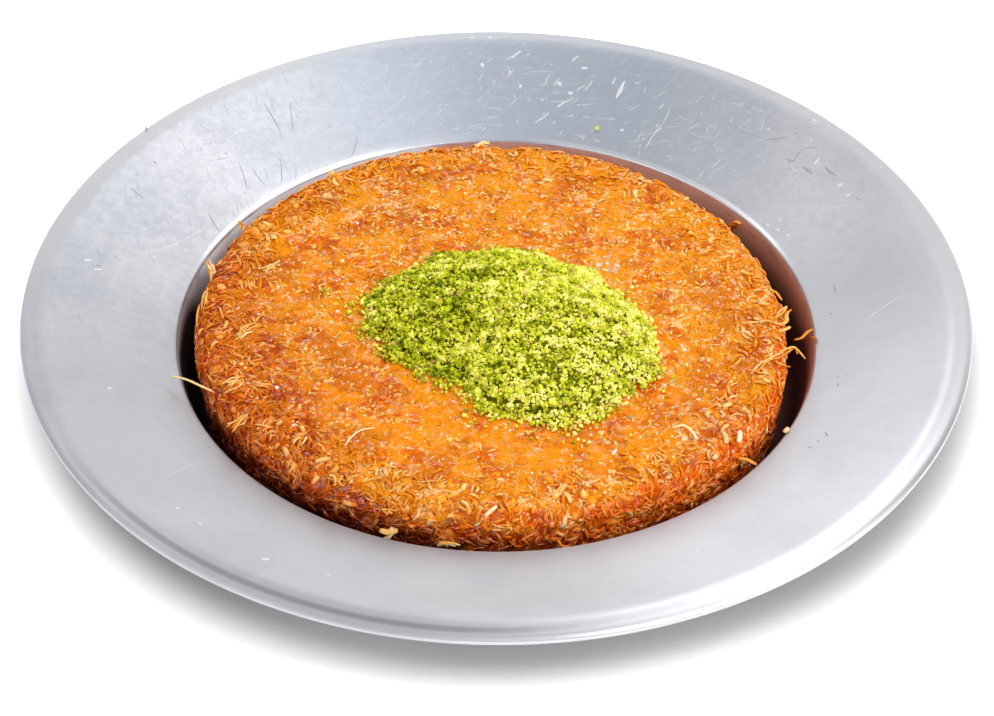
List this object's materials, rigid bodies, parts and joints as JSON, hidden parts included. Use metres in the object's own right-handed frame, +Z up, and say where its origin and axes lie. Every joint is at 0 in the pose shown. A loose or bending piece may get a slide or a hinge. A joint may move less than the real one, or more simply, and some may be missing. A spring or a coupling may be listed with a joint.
{
  "type": "kunafa",
  "caption": "Browned disc of shredded-pastry kunafa topped with ground pistachio, in the shallow well of a wide-rimmed round aluminium plate.",
  "frame": {"origin": "centre of the plate's flat underside, on the table", "axes": "+Z up, along the plate's axis; -Y towards the side that faces the viewer in the picture"},
  "size_m": [0.2204, 0.2204, 0.0349],
  "materials": {
    "plate": "spun, brushed in rings, scratched by use",
    "kunafa": "browned chopped pastry strands, soaked in syrup",
    "pistachio": "ground green nut, dry"
  },
  "bodies": {
    "root": {"plate": "plate", "kunafa": "kunafa", "pistachio": "pistachio"}
  },
  "joints": []
}
